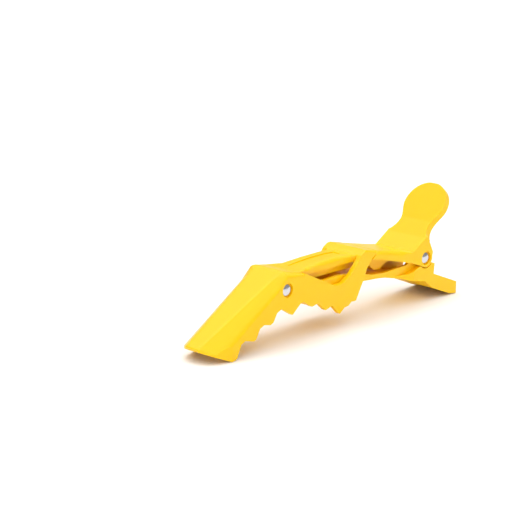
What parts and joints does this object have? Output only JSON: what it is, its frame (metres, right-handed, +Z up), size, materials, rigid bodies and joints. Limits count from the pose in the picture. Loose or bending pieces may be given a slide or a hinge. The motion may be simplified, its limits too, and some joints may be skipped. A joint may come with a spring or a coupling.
{
  "type": "sectioning hair clip",
  "caption": "Double-hinged sectioning clip with a toothed snout, an arched lower jaw, a rounded paddle handle and a sprung main hinge.",
  "frame": {"origin": "on the ground under the middle of the clip's length and width, as it stands closed on its front fangs and lower handle", "axes": "+X from the nose to the handles, +Y across the clip, +Z up"},
  "size_m": [0.1136, 0.016, 0.0362],
  "materials": {
    "clip_plastic": "glossy moulded yellow plastic",
    "rivet_steel": "bright plated rivet",
    "spring_wire": "drawn spring wire"
  },
  "bodies": {
    "lower_jaw": {"lower_jaw": "clip_plastic", "rear_pin": "rivet_steel", "torsion_spring": "spring_wire"},
    "upper_lever": {"upper_lever": "clip_plastic", "front_pin": "rivet_steel"},
    "front_jaw": {"front_jaw": "clip_plastic"}
  },
  "joints": [
    {"name": "jaw_hinge", "type": "hinge", "parent": "lower_jaw", "child": "upper_lever", "pos_m": [0.04042, 0, 0.0148], "axis": [0, 1, 0], "range_deg": [0, 32], "stiffness_Nm_per_rad": 0.2, "springref_deg": -22.92, "deforming": ["torsion_spring"]},
    {"name": "snout_pivot", "type": "hinge", "parent": "upper_lever", "child": "front_jaw", "pos_m": [-0.02428, 0, 0.0171], "axis": [0, -1, 0], "range_deg": [0, 5]}
  ]
}
